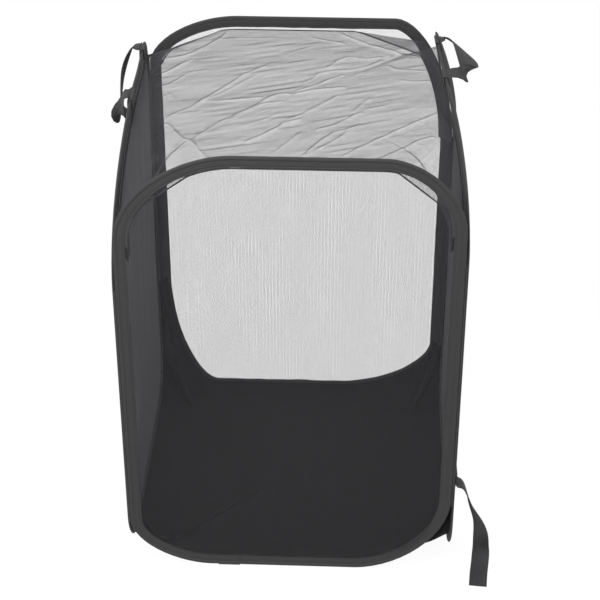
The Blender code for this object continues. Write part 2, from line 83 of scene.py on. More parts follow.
# The studio. A white sweep under and behind the cage, lit by one broad lamp high on the left,
# a broad fill on the right and the white walls. Seen straight, the sweep and the walls are white,
# and the sweep keeps the soft shadow of the cage.
class Signal:
    def __init__(self, tree, socket):
        self.tree = tree
        self.socket = socket

    def maths(self, operation, first, second=None):
        values = {0: first} if second is None else {0: first, 1: second}
        return self.tree.node("ShaderNodeMath", {"operation": operation}, values)

    def __add__(self, other):
        return self.maths("ADD", self, other)

    __radd__ = __add__

    def __sub__(self, other):
        return self.maths("SUBTRACT", self, other)

    def __rsub__(self, other):
        return self.maths("SUBTRACT", other, self)

    def __mul__(self, other):
        return self.maths("MULTIPLY", self, other)

    __rmul__ = __mul__

    def __truediv__(self, other):
        return self.maths("DIVIDE", self, other)

    def __mod__(self, other):
        return self.maths("FLOORED_MODULO", self, other)

    def __pow__(self, other):
        return self.maths("POWER", self, other)

    def above(self, edge, soft):
        return self.tree.node("ShaderNodeMapRange", {"interpolation_type": "SMOOTHSTEP"}, {
            "Value": self, "From Min": edge - soft / 2, "From Max": edge + soft / 2})

    def larger(self, other):
        return self.maths("MAXIMUM", self, other)

    def wave(self):
        return self.maths("SINE", self)

    def size(self):
        return self.maths("ABSOLUTE", self)


class Finish:
    def __init__(self, name):
        self.material = bpy.data.materials.new(name)
        self.material.use_nodes = True
        self.nodes = self.material.node_tree.nodes
        self.links = self.material.node_tree.links
        self.shader = self.nodes["Principled BSDF"]

    def node(self, kind, settings=None, values=None, out=0):
        made = self.nodes.new(kind)
        for key, value in (settings or {}).items():
            if key == "stops":
                for stop, (place, colour) in zip(made.color_ramp.elements, value):
                    stop.position = place
                    stop.color = (*colour, 1)
            else:
                setattr(made, key, value)
        for key, value in (values or {}).items():
            self.feed(made.inputs[key], value)
        return Signal(self, made.outputs[out])

    def feed(self, socket, value):
        if isinstance(value, Signal):
            self.links.new(value.socket, socket)
        else:
            socket.default_value = value

    def set(self, **values):
        for key, value in values.items():
            self.feed(self.shader.inputs[key.replace("_", " ")], value)

    def along(self):
        return self.parted("UV")

    def across(self):
        return self.parted("UV", 1)

    def parted(self, source, axis=0):
        place = self.node("ShaderNodeTexCoord", out=source)
        return self.node("ShaderNodeSeparateXYZ", None, {0: place}, out=axis)

    def grain(self, scale, detail=2.0, source="Object"):
        place = self.node("ShaderNodeTexCoord", out=source)
        return self.node("ShaderNodeTexNoise", None, {"Vector": place, "Scale": scale, "Detail": detail})

    def tinted(self, share, first, second):
        return self.node("ShaderNodeMix", {"data_type": "RGBA"}, {0: share, 6: (*first, 1), 7: (*second, 1)}, out=2)

    def bumped(self, height, distance, strength=1.0):
        return self.node("ShaderNodeBump", None, {"Height": height, "Distance": distance, "Strength": strength})


SWEEP_SIZE = 8
SWEEP_DROP = -0.0004
SWEEP_SHADOW_SHARE = 0.15
SWEEP_GLOW = 1.12
WHITE = (1.0, 1.0, 1.0, 1.0)

ground = bmesh.new()
bmesh.ops.create_grid(ground, x_segments=1, y_segments=1, size=SWEEP_SIZE / 2)
bmesh.ops.translate(ground, verts=ground.verts, vec=(0, 0, SWEEP_DROP))
sweep_mesh = bpy.data.meshes.new("sweep")
ground.to_mesh(sweep_mesh)
ground.free()
sweep = bpy.data.objects.new("sweep", sweep_mesh)
bpy.context.scene.collection.objects.link(sweep)

paper = Finish("white_sweep")
paper.set(Base_Color=(0.55, 0.55, 0.55, 1), Roughness=0.9)
seen = paper.node("ShaderNodeLightPath", out="Is Camera Ray")
mirrored = paper.node("ShaderNodeLightPath", out="Is Glossy Ray")
through = paper.node("ShaderNodeLightPath", out="Is Transmission Ray")
glow = paper.node("ShaderNodeEmission", None, {"Color": WHITE, "Strength": SWEEP_GLOW})
lit = Signal(paper, paper.shader.outputs[0])
blend = seen.larger(mirrored).larger(through) * (1 - SWEEP_SHADOW_SHARE)
mixed = paper.node("ShaderNodeMixShader", None, {0: blend, 1: lit, 2: glow})
paper.links.new(mixed.socket, paper.nodes["Material Output"].inputs[0])
sweep_mesh.materials.append(paper.material)

WALL_LIGHT = 0.36
world = bpy.data.worlds.new("studio_walls")
bpy.context.scene.world = world
world.use_nodes = True
walls = world.node_tree
path = walls.nodes.new("ShaderNodeLightPath")
reach = walls.nodes.new("ShaderNodeMath")
reach.operation = "MAXIMUM"
walls.links.new(path.outputs["Is Camera Ray"], reach.inputs[0])
walls.links.new(path.outputs["Is Glossy Ray"], reach.inputs[1])
level = walls.nodes.new("ShaderNodeMapRange")
level.inputs["To Min"].default_value = WALL_LIGHT
level.inputs["To Max"].default_value = 1.0
walls.links.new(reach.outputs[0], level.inputs["Value"])
walls.nodes["Background"].inputs["Color"].default_value = WHITE
walls.links.new(level.outputs[0], walls.nodes["Background"].inputs["Strength"])

LAMPS = {
    "key_lamp": ((-0.55, -0.95, 1.5), 0.95, 20),
    "fill_lamp": ((1.4, -0.9, 1.5), 1.2, 11),
}
for name, (spot, width, power) in LAMPS.items():
    lamp = bpy.data.lights.new(name, "AREA")
    lamp.shape = "DISK"
    lamp.size = width
    lamp.energy = power
    holder = bpy.data.objects.new(name, lamp)
    holder.location = spot
    holder.rotation_mode = "QUATERNION"
    holder.rotation_quaternion = (VIEW_TARGET - Vector(spot)).to_track_quat("-Z", "Y")
    bpy.context.scene.collection.objects.link(holder)


# The four hoops. Each is a rounded rectangle of flat sprung wire, closed by a crimped sleeve,
# that stands on its edge as one side of the cage. The wires and sleeves are the CAD's own solids,
# in dull steel, and the lines of the hoops carry all the cloth.
CAGE_WIDTH = 0.36
CAGE_DEPTH = 0.346
CAGE_HEIGHT = 0.525
HOOP_LIFT = 0.0008
HOOP_SETBACK = 0.0009
CORNER_RADIUS = 0.10
CORNER_FULLNESS = 1.8
CORNER_STEPS = 14
RUN_STEP = 0.008
NOD_DEPTH = 0.115
NOD_POWER = 1.5
UP = np.array((0.0, 0.0, 1.0))


# How far along a line of points each of them lies
def distance_along(line):
    return np.append(0, np.cumsum(np.linalg.norm(np.diff(line, axis=0), axis=1)))


# A loop moved inward by a distance, its edges kept parallel
def inset_loop(loop, distance):
    before = loop - np.roll(loop, 1, 0)
    after = np.roll(loop, -1, 0) - loop
    sides = []
    for way in (before, after):
        way = way / np.linalg.norm(way, axis=1)[:, None]
        sides.append(np.stack([-way[:, 1], way[:, 0]], 1))
    first, second = sides
    meet = 1 + (first * second).sum(1)
    return loop + (first + second) * (distance / meet)[:, None]


class Hoop:
    def __init__(self, middle, along, out, width, shares, bow=0.0, nod=0.0, join=0.0):
        self.middle = np.array(middle)
        self.along = np.array(along)
        self.out = np.array(out)
        self.half = width / 2
        self.bow = bow
        self.nod = nod
        self.join = join
        self.outline = self.rounded(self.half - HOOP_SETBACK, shares)

    def rounded(self, half, shares):
        turn = np.linspace(0, math.pi / 2, CORNER_STEPS + 1)
        power = 2 / CORNER_FULLNESS
        runs = []
        signs = ((1, HOOP_LIFT, 1), (1, CAGE_HEIGHT, -1), (-1, CAGE_HEIGHT, -1), (-1, HOOP_LIFT, 1))
        for corner, ((reach, rise), (side, edge, way)) in enumerate(zip(shares, signs)):
            x = CORNER_RADIUS * reach * (1 - np.cos(turn) ** power)
            z = CORNER_RADIUS * rise * (1 - np.sin(turn) ** power)
            run = np.stack([side * (half - x), edge + way * z], 1)
            runs.append(run if corner in (1, 3) else run[::-1])
        points = []
        for run, after in zip(runs, runs[1:] + runs[:1]):
            points += list(run)
            gap = np.linalg.norm(after[0] - run[-1])
            steps = max(int(gap / RUN_STEP), 1)
            points += [run[-1] + (after[0] - run[-1]) * k / steps for k in range(1, steps)]
        return np.array(points)

    # Points at s along the hoop and z up it, n outward from its seam plane
    def place(self, s, z, n):
        s, z, n = np.broadcast_arrays(*np.atleast_1d(s, z, n))
        share = s / self.half
        ramp = np.maximum(0, 1 - (CAGE_HEIGHT - z) / NOD_DEPTH) ** NOD_POWER
        lean = self.bow * (1 - share ** 2) * (z / CAGE_HEIGHT) ** 2 + self.nod * ((1 + share) / 2) ** 2 * ramp
        return self.middle + s[..., None] * self.along + (n - lean)[..., None] * self.out + z[..., None] * UP

    # The lowest and highest z of an inset outline at each s
    def span(self, inset, s):
        loop = inset_loop(self.outline, inset)
        ends = []
        for half, pick in ((loop[:, 1] < CAGE_HEIGHT / 2, -1), (loop[:, 1] > CAGE_HEIGHT / 2, 1)):
            part = loop[half]
            part = part[np.lexsort((pick * part[:, 1], part[:, 0]))]
            keys = np.round(part[:, 0], 6)
            last = np.append(keys[1:] != keys[:-1], True)
            ends.append(np.interp(s, part[last, 0], part[last, 1]))
        return ends


HOOPS = {
    "front": Hoop((0, -CAGE_DEPTH / 2, 0), (1, 0, 0), (0, -1, 0), CAGE_WIDTH,
                  ((1.05, 0.98), (0.83, 0.82), (1.22, 0.98), (0.89, 0.60)), join=-0.069),
    "right": Hoop((CAGE_WIDTH / 2, 0, 0), (0, 1, 0), (1, 0, 0), CAGE_DEPTH,
                  ((0.70, 0.62), (0.36, 0.70), (1.45, 1.20), (0.70, 0.62)), bow=0.013, nod=0.030),
    "back": Hoop((0, CAGE_DEPTH / 2, 0), (-1, 0, 0), (0, 1, 0), CAGE_WIDTH,
                 ((0.67, 1.65), (1.03, 0.61), (0.71, 1.50), (1.27, 0.77))),
    "left": Hoop((-CAGE_WIDTH / 2, 0, 0), (0, -1, 0), (-1, 0, 0), CAGE_DEPTH,
                 ((0.70, 0.62), (1.65, 1.60), (0.95, 0.70), (0.70, 0.62)), bow=0.010),
}
BODIES = {"front": "front", "right": "right_side", "back": "back", "left": "left_side"}

steel = Finish("sprung_steel")
drawn = steel.grain(90)
steel.set(Base_Color=steel.tinted(drawn, (0.30, 0.31, 0.33), (0.46, 0.47, 0.49)), Metallic=1.0,
          Roughness=0.28 + drawn * 0.2)
for side in HOOPS:
    for part in ("_wire", "_ferrule"):
        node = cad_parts[side + part]
        node.data.materials.clear()
        node.data.materials.append(steel.material)


# The edge bindings. Each is 13 mm woven tape, folded over the wire and down both faces of the net,
# with one stitched row beside the wire, which makes the rounded piping, and one near the tape's edges.
# The tape puckers a little between stitches.
class Cloth:
    def __init__(self, name):
        self.name = name
        self.shape = bmesh.new()
        self.uv = self.shape.loops.layers.uv.new("cloth")

    # A grid of faces laid on a surface: place gives each point and its mark on the flat cloth
    def lay(self, columns, rows, place, keep=None):
        made = bmesh.ops.create_grid(self.shape, x_segments=columns, y_segments=rows, size=0.5)["verts"]
        flat = np.array([vert.co[:2] for vert in made]) + 0.5
        spots, marks = place(flat[:, 0], flat[:, 1])
        self.shape.verts.index_update()
        first = made[0].index
        faces = {face for vert in made for face in vert.link_faces}
        spare = []
        for face in faces:
            if keep is not None and not keep(flat[[v.index - first for v in face.verts]].mean(0)):
                spare.append(face)
                continue
            for loop in face.loops:
                loop[self.uv].uv = marks[loop.vert.index - first]
        for vert, spot in zip(made, spots):
            vert.co = spot
        if spare:
            bmesh.ops.delete(self.shape, geom=spare, context="FACES")

    def close(self):
        bmesh.ops.remove_doubles(self.shape, verts=self.shape.verts, dist=0.000001)
        rims = [edge for edge in self.shape.edges if edge.is_boundary]
        if rims:
            bmesh.ops.holes_fill(self.shape, edges=rims, sides=0)
        bmesh.ops.recalc_face_normals(self.shape, faces=self.shape.faces)

    def finish(self, material, sharp=50):
        mesh = bpy.data.meshes.new(self.name)
        self.shape.to_mesh(mesh)
        self.shape.free()
        mesh.materials.append(material)
        mesh.shade_smooth()
        mesh.set_sharp_from_angle(angle=math.radians(sharp))
        piece = bpy.data.objects.new(self.name, mesh)
        bpy.context.scene.collection.objects.link(piece)
        return piece


def settle(piece, body, node):
    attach(piece, body)
    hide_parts(node)


# Soft lumps that never repeat, from -1 to 1
def lumps(x, y, seed):
    col, row = np.floor(x), np.floor(y)
    part_x, part_y = x - col, y - row

    def corner(a, b):
        return np.modf(np.abs(np.sin(a * 127.1 + b * 311.7 + seed * 74.7) * 43758.5453))[0] * 2 - 1

    ease_x = part_x * part_x * (3 - 2 * part_x)
    ease_y = part_y * part_y * (3 - 2 * part_y)
    low = corner(col, row) * (1 - ease_x) + corner(col + 1, row) * ease_x
    high = corner(col, row + 1) * (1 - ease_x) + corner(col + 1, row + 1) * ease_x
    return low * (1 - ease_y) + high * ease_y


# The tape's cross-section, in millimetres in from the hoop's edge and out from its seam plane:
# its outer side from edge to edge, round the fold at its fifteenth point, and then its inner side
TAPE_OUTER = (
    (13.0, 0.25), (12.4, 0.15), (11.5, 0.17), (11.1, 0.42), (10.7, 0.17), (9.0, 0.15), (6.8, 0.15), (5.4, 0.16),
    (4.7, 0.36), (4.0, 0.16), (2.6, 0.15), (1.4, 0.28), (0.6, 0.65), (0.12, 1.15), (0.0, 1.65), (0.12, 2.15),
    (0.6, 2.65), (1.4, 3.02), (2.4, 3.15), (3.3, 3.02), (4.1, 2.66), (4.7, 2.18), (5.4, 2.32), (6.8, 2.36),
    (9.0, 2.38), (10.7, 2.36), (11.1, 2.08), (11.5, 2.34), (12.4, 2.38), (13.0, 2.28),
)
TAPE_INNER = ((13.0, 1.86), (5.2, 1.84), (4.0, 2.62), (0.7, 2.55), (0.62, 0.75), (4.6, 0.66), (13.0, 0.66))
PUCKER_PITCH = 0.011
PUCKER_DEPTH = 0.00035
PUCKER_LIFT = 0.00018
FOLD_POINT = 14
FACE_POINTS = 16
OUTER_FACE_LEVEL = 0.0015
TAPE_RIB_PITCH = 0.0009
TAPE_YARN_PITCH = 0.0006
TAPE_WEAVE_HEIGHT = 0.00007


def tape_material():
    tape = Finish("binding_tape")
    along, across = tape.along(), tape.across()
    ribs = (along * (2 * math.pi / TAPE_RIB_PITCH)).wave()
    yarns = (across * (2 * math.pi / TAPE_YARN_PITCH)).wave()
    weave = ribs * 0.5 + yarns * 0.5
    wear = tape.grain(60, 3)
    tape.set(
        Base_Color=tape.tinted(wear * 0.6 + weave * 0.08 + 0.2, (0.031, 0.031, 0.032), (0.052, 0.051, 0.053)),
        Roughness=0.62 + wear * 0.12, Normal=tape.bumped(weave, TAPE_WEAVE_HEIGHT), Specular_IOR_Level=0.35)
    return tape.material


tape_cloth = tape_material()


def make_tape(name, hoop):
    section = np.array(TAPE_OUTER + TAPE_INNER) / 1000
    loops = np.stack([inset_loop(hoop.outline, inset) for inset, level in section])
    stations = len(hoop.outline)
    walk = distance_along(np.vstack([hoop.outline, hoop.outline[:1]]))
    girth = distance_along(np.vstack([section, section[:1]]))

    def place(u, v):
        station = np.rint(u * stations).astype(int)
        line = np.rint(v * len(section)).astype(int)
        here, spot = station % stations, line % len(section)
        far = section[spot, 0] / section[:, 0].max()
        pucker = lumps(walk[here] / PUCKER_PITCH, spot // FACE_POINTS, 3)
        s, z = loops[spot, here].T
        toward = (loops[0, here] - loops[FOLD_POINT, here]) / section[0, 0]
        s = s + toward[:, 0] * pucker * PUCKER_DEPTH * far ** 2
        z = z + toward[:, 1] * pucker * PUCKER_DEPTH * far ** 2
        lift = lumps(walk[here] / PUCKER_PITCH, np.full(here.shape, 5.0), 9) * PUCKER_LIFT * far
        n = section[spot, 1] + np.where(section[spot, 1] > OUTER_FACE_LEVEL, 1, 0) * lift
        return hoop.place(s, z, n), np.stack([walk[station], girth[line]], 1)

    cloth = Cloth(name)
    cloth.lay(stations, len(section), place)
    cloth.close()
    return cloth.finish(tape_cloth)


for side, hoop in HOOPS.items():
    binding = make_tape(side + "_tape", hoop)
    settle(binding, BODIES[side], side + "_binding")


# The laps of the bindings. Where the tape's two ends meet, one laps over the other on the outer
# side, which leaves a short thicker place at the foot of each hoop.
LAP_LENGTH = 0.024
LAP_LINE = TAPE_OUTER[12:]
LAP_GAP = 0.3
LAP_THICKNESS = 0.5
LAP_TAPER = 0.04
LAP_STEPS = 10


def offset_line(line, distance):
    line = np.array(line)
    ways = np.diff(line, axis=0)
    ways = ways / np.linalg.norm(ways, axis=1)[:, None]
    before = np.vstack([ways[:1], ways])
    after = np.vstack([ways, ways[-1:]])
    first = np.stack([-before[:, 1], before[:, 0]], 1)
    second = np.stack([-after[:, 1], after[:, 0]], 1)
    return line + (first + second) * (distance / (1 + (first * second).sum(1)))[:, None]


for side, hoop in HOOPS.items():
    under = offset_line(LAP_LINE, LAP_GAP)
    over = offset_line(LAP_LINE, LAP_GAP + LAP_THICKNESS)
    section = np.vstack([over, under[::-1]]) / 1000
    girth = distance_along(np.vstack([section, section[:1]]))

    def place(u, v):
        line = np.rint(v * len(section)).astype(int)
        spot = line % len(section)
        s = hoop.join + (u - 0.5) * LAP_LENGTH
        ends = np.abs(u - 0.5) * 2
        shrink = 1 - LAP_TAPER * ends ** 8
        return hoop.place(s, HOOP_LIFT + np.maximum(section[spot, 0], -HOOP_LIFT) * shrink, section[spot, 1]), \
            np.stack([u * LAP_LENGTH, girth[line]], 1)

    lap = Cloth(side + "_lap")
    lap.lay(LAP_STEPS, len(section), place)
    lap.close()
    settle(lap.finish(tape_cloth), BODIES[side], side + "_binding_join")


# The four side panels. Each is fine black polyester net, knitted in upright wales 0.86 mm apart
# with thin yarns between, its edge tucked in the binding. The wales stand up from the net by their
# own thickness, so a panel that is open from the front closes up when it is seen along its face.
WALE_PITCH = 0.00086
WALE_WIDTH = 0.000113
WALE_DEPTH = 0.00021
TOP_WALE_DEPTH = 0.00017
YARN_WIDTH = 0.00002
YARN_PITCH = 0.0007
NET_LEVEL = 0.00125
NET_INSET = 0.0075
NET_BULGE = 0.0035
NET_SOFT = 0.0018
SLACK_WIDTH, SLACK_SLANT, SLACK_LENGTH, SLACK_DRIFT = 0.05, 0.2, 0.35, 0.3
RIPPLE_WIDTH, RIPPLE_LENGTH, RIPPLE_SHARE = 0.02, 0.12, 0.5
PANEL_COLUMNS, PANEL_ROWS, WALE_ROWS = 96, 120, 40


def net_material(name, turned=False):
    net = Finish(name)
    along, across = (net.across(), net.along()) if turned else (net.along(), net.across())
    wale = ((along / WALE_PITCH + 0.5) % 1.0 - 0.5).size()
    lean = ((across / YARN_PITCH) % 1.0 - 0.5).size()
    yarn = (lean - (along / WALE_PITCH % 1.0 - 0.5).size()).size()
    thread = 1 - wale.above(WALE_WIDTH / WALE_PITCH / 2, 0.03)
    thin = 1 - yarn.above(YARN_WIDTH / YARN_PITCH, 0.02)
    net.set(Base_Color=(0.105, 0.102, 0.111, 1), Roughness=0.7, Alpha=thread.larger(thin),
            Specular_IOR_Level=0.3)
    return net.material


side_net = net_material("side_net")


def net_slack(hoop, s, z):
    across = s / hoop.half
    up = z / CAGE_HEIGHT * 2 - 1
    hold = np.clip((1 - across ** 4) * (1 - up ** 4), 0, 1)
    slack = lumps(s / SLACK_WIDTH + z / SLACK_SLANT, z / SLACK_LENGTH - s / SLACK_DRIFT, hoop.half * 100)
    fold = slack + RIPPLE_SHARE * lumps(s / RIPPLE_WIDTH, z / RIPPLE_LENGTH, 4)
    return hold * (NET_BULGE + NET_SOFT * fold)


for side, hoop in HOOPS.items():
    half = hoop.half - HOOP_SETBACK - NET_INSET
    wales = int(half / WALE_PITCH)

    def panel(u, v):
        s = (u * 2 - 1) * half
        low, high = hoop.span(NET_INSET, s)
        z = low + (high - low) * v
        return hoop.place(s, z, NET_LEVEL + net_slack(hoop, s, z)), np.stack([s, z], 1)

    def wale_edges(u, v):
        column = np.rint(u * (wales * 4 + 1)).astype(int)
        s = (column // 2 - wales) * WALE_PITCH
        low, high = hoop.span(NET_INSET, s)
        z = low + (high - low) * v
        stand = (column % 2 - 0.5) * WALE_DEPTH
        return hoop.place(s, z, NET_LEVEL + net_slack(hoop, s, z) + stand), np.stack([s, z], 1)

    def between_edges(middle):
        return int(middle[0] * (wales * 4 + 1)) % 2 == 0

    cloth = Cloth(side + "_panel")
    cloth.lay(PANEL_COLUMNS, PANEL_ROWS, panel)
    cloth.lay(wales * 4 + 1, WALE_ROWS, wale_edges, between_edges)
    piece = cloth.finish(side_net, 180)
    settle(piece, BODIES[side], side + "_net")


# The top's net. Its edge is sewn to all four bindings, along the crowns and down the upper corners,
# where it falls in straight rules from hoop to hoop. It keeps the creases of being folded flat, and
# it is cut in four along its diagonals, so that each part can fold with its own hoop.
TOP_INSET = 0.0155
SEAM_LEVEL = -0.00015
TOP_DEPTHS = {"front": (0.105, 0.125), "right": (0.150, 0.105), "back": (0.060, 0.150), "left": (0.125, 0.070)}
TOP_CUTS = {"front": (0.110, 0.100, 0.055), "back": (0.100, 0.068, 0.039)}
TOP_CROWN = CAGE_HEIGHT - TOP_INSET
TOP_SAG = 0.0015
TOP_EASE = 8
TOP_ROWS = 90
RIM_STEP = 0.0025
RIB_STEP = 0.0018
RIB_REACH = 0.20
MARK_STEP = 0.001
CROWN_SLACK = 0.0004
RING_ORDER = ("front", "right", "back", "left")

# Creases as a share of their height and the points of their lines in plan
CREASE_HEIGHT = 0.0024
CREASE_WIDTH = 0.0019
CREASE_EDGE = 1.4
CREASE_FADE = 0.04
CREASE_LEAST = 0.3
FINE_HEIGHT, FINE_LENGTH, FINE_WIDTH = 0.0006, 0.030, 0.006
SOFT_HEIGHT, SOFT_LENGTH, SOFT_WIDTH = 0.0014, 0.07, 0.035
CREASES = (
    (1, ((-0.153, 0.041), (-0.142, 0.053), (-0.132, 0.067), (-0.120, 0.086))),
    (1, ((-0.152, 0.085), (-0.131, 0.094), (-0.109, 0.121), (-0.094, 0.144), (-0.086, 0.166),
        (-0.081, 0.171))),
    (0.35, ((-0.093, 0.144), (-0.070, 0.148), (-0.025, 0.150))),
    (0.7, ((-0.103, -0.026), (-0.088, 0.004), (-0.073, 0.025), (-0.058, 0.051), (-0.037, 0.071))),
    (0.4, ((-0.099, -0.018), (-0.082, 0.002), (-0.066, 0.023), (-0.048, 0.047))),
    (0.7, ((-0.084, -0.019), (-0.059, -0.014), (-0.038, -0.009))),
    (0.6, ((-0.097, -0.103), (-0.082, -0.077), (-0.066, -0.058), (-0.047, -0.038), (-0.032, -0.013),
        (-0.018, 0.001), (-0.006, 0.001))),
    (0.8, ((-0.066, -0.065), (-0.051, -0.045), (-0.034, -0.025), (-0.017, -0.018))),
    (0.9, ((-0.045, -0.112), (-0.033, -0.100), (-0.019, -0.084), (-0.011, -0.070), (0.007, -0.057))),
    (0.8, ((-0.138, -0.073), (-0.129, -0.075), (-0.117, -0.097), (-0.111, -0.108), (-0.103, -0.112),
        (-0.093, -0.132), (-0.084, -0.148), (-0.079, -0.150))),
    (0.5, ((-0.149, 0.009), (-0.137, 0.020), (-0.125, 0.041))),
    (0.4, ((-0.147, -0.011), (-0.139, -0.009), (-0.135, -0.001), (-0.127, -0.017))),
    (0.4, ((-0.137, -0.070), (-0.122, -0.048), (-0.108, -0.034), (-0.103, -0.026))),
    (0.4, ((-0.020, -0.142), (-0.006, -0.117), (0.008, -0.090))),
    (0.3, ((-0.053, -0.076), (-0.037, -0.066), (-0.016, -0.046))),
    (1.2, ((0.030, 0.184), (0.049, 0.159), (0.074, 0.137), (0.101, 0.116), (0.128, 0.101), (0.146, 0.096))),
    (1, ((0.099, 0.078), (0.107, 0.066), (0.127, 0.065), (0.147, 0.063))),
    (0.7, ((0.113, 0.038), (0.127, 0.036), (0.146, 0.039))),
    (0.7, ((-0.000, 0.009), (0.014, 0.019), (0.031, 0.035), (0.048, 0.051))),
    (0.9, ((0.001, 0.003), (0.018, 0.010), (0.036, 0.015), (0.051, 0.020))),
    (0.6, ((0.024, 0.055), (0.037, 0.061), (0.057, 0.064), (0.077, 0.076), (0.092, 0.090))),
    (0.6, ((0.033, 0.069), (0.042, 0.087), (0.055, 0.098), (0.074, 0.093), (0.090, 0.098))),
    (0.4, ((0.009, 0.034), (0.023, 0.054))),
    (1, ((0.026, -0.082), (0.042, -0.072), (0.052, -0.060), (0.069, -0.043))),
    (0.5, ((0.062, -0.038), (0.073, -0.014), (0.079, -0.006))),
    (0.5, ((0.078, -0.033), (0.094, -0.025))),
    (0.8, ((0.015, -0.138), (0.026, -0.114), (0.043, -0.088), (0.055, -0.083), (0.069, -0.071))),
    (0.6, ((0.016, -0.140), (0.032, -0.120), (0.049, -0.099), (0.061, -0.078))),
    (1.2, ((0.054, -0.140), (0.080, -0.111), (0.110, -0.079), (0.149, -0.040))),
    (0.8, ((0.090, -0.144), (0.113, -0.121), (0.130, -0.102), (0.143, -0.092))),
    (0.5, ((0.012, 0.153), (0.036, 0.141), (0.049, 0.136))),
    (0.5, ((-0.004, -0.058), (0.019, -0.031), (0.045, -0.000))),
    (0.3, ((-0.011, 0.110), (0.013, 0.127))),
)


# One hoop's seam with the top, from its left end to its right, as s and z
def top_seam(side):
    loop = inset_loop(HOOPS[side].outline, TOP_INSET)
    right_cut, left_cut, cut_depth = TOP_CUTS.get(side, (CAGE_WIDTH, CAGE_WIDTH, 0))
    run = []
    for first, second in zip(loop, loop[1:]):
        right = first[0] > 0
        low = CAGE_HEIGHT - TOP_DEPTHS[side][0 if right else 1]
        if min(first[1], second[1]) < low <= max(first[1], second[1]):
            run.append(first + (second - first) * (low - first[1]) / (second[1] - first[1]))
        within = abs(second[0]) <= (right_cut if right else left_cut)
        if second[1] > low and (within or second[1] <= CAGE_HEIGHT - cut_depth):
            run.append(second)
    return np.array(run[::-1])


# A line of points given even steps
def even_line(line, step):
    walk = distance_along(line)
    at = np.linspace(0, walk[-1], max(int(walk[-1] / step), 1) + 1)
    return np.stack([np.interp(at, walk, line[:, k]) for k in range(line.shape[1])], 1)


# The rims of the four parts of a cloth sewn to all hoops, each to the middle of the corner at both ends
def four_rims(seam, step):
    own = {side: HOOPS[side].place(*even_line(seam(side), step).T, SEAM_LEVEL) for side in RING_ORDER}
    rims = {}
    for index, side in enumerate(RING_ORDER):
        before, after = own[RING_ORDER[index - 1]], own[RING_ORDER[(index + 1) % 4]]
        rims[side] = np.vstack([(before[-1:] + own[side][:1]) / 2, own[side], (own[side][-1:] + after[:1]) / 2])
    return rims


def crease_relief(x, y):
    relief = np.zeros_like(x)
    for height, line in CREASES:
        near = np.full(x.shape, 1.0)
        for first, second in zip(np.array(line), np.array(line)[1:]):
            way = second - first
            share = np.clip(((x - first[0]) * way[0] + (y - first[1]) * way[1]) / (way @ way), 0, 1)
            near = np.minimum(near, np.hypot(x - first[0] - way[0] * share, y - first[1] - way[1] * share))
        relief += height * CREASE_HEIGHT * np.exp(-(near / CREASE_WIDTH) ** CREASE_EDGE)
    swing, cross = x * 0.93 + y * 0.36, y * 0.93 - x * 0.36
    fine = FINE_HEIGHT * lumps(swing / FINE_LENGTH, cross / FINE_WIDTH, 11)
    relief += fine + SOFT_HEIGHT * lumps(swing / SOFT_LENGTH, cross / SOFT_WIDTH, 12)
    return relief


TOP_CORNERS = (("front", "right", 1, -1), ("right", "back", 1, 1), ("back", "left", -1, 1), ("left", "front", -1, -1))


# At each plan point, how far the top has fallen at the nearest corner, and how far the cloth's own
# marks there have slid past the plan because the cloth is steep
def top_fall(x, y):
    fall, slide_x, slide_y = np.zeros_like(x), np.zeros_like(x), np.zeros_like(x)
    for first, second, side_x, side_y in TOP_CORNERS:
        reach, outer, drop = {}, {}, {}
        for side, seam in ((first, top_seam(first)[::-1]), (second, top_seam(second) * (-1, 1))):
            key = "x" if side in ("front", "back") else "y"
            outer[key] = HOOPS[side].half - seam[0, 0]
            reach[key] = seam[0, 0] - seam[seam[:, 1] > TOP_CROWN - CROWN_SLACK, 0].max()
            gone = seam[0, 0] - seam[:, 0]
            order = np.argsort(gone, kind="stable")
            drop[key] = (gone[order], TOP_CROWN - seam[order, 1])
        p = np.maximum(CAGE_WIDTH / 2 - side_x * x, 0)
        q = np.maximum(CAGE_DEPTH / 2 - side_y * y, 0)
        a, b, p_end, q_end = reach["x"], reach["y"], outer["x"], outer["y"]
        half = (a * q_end + b * p_end - b * p - a * q) / 2
        rest = p_end * q_end - p * q_end - q * p_end
        t = np.clip((np.sqrt(np.maximum(half ** 2 - a * b * rest, 0)) - half) / (a * b), 0, 1)
        share = np.clip(p / (p_end + t * a), 0, 1)
        down = share * np.interp(t * a, *drop["x"]) + (1 - share) * np.interp(t * b, *drop["y"])
        far_x, far_y = p_end + a, q_end + b
        slant = math.hypot(far_x, far_y)
        past = np.maximum(1 - p / far_x - q / far_y, 0) * far_x * far_y / slant
        stretch = np.hypot(past, down) - past
        inside = t < 1
        fall = np.where(inside, down, fall)
        slide_x = np.where(inside, side_x * stretch * far_y / slant, slide_x)
        slide_y = np.where(inside, side_y * stretch * far_x / slant, slide_y)
    return fall, slide_x, slide_y


def top_height(x, y, share, edge, edge_fall):
    fall = top_fall(x, y)[0]
    soft = crease_relief(x, y) * (1 - share ** TOP_EASE) * np.clip(1 - fall / CREASE_FADE, CREASE_LEAST, 1)
    return (TOP_CROWN - fall - TOP_SAG * (1 - share ** 2)
            + (edge - TOP_CROWN + edge_fall) * share ** TOP_EASE + soft)


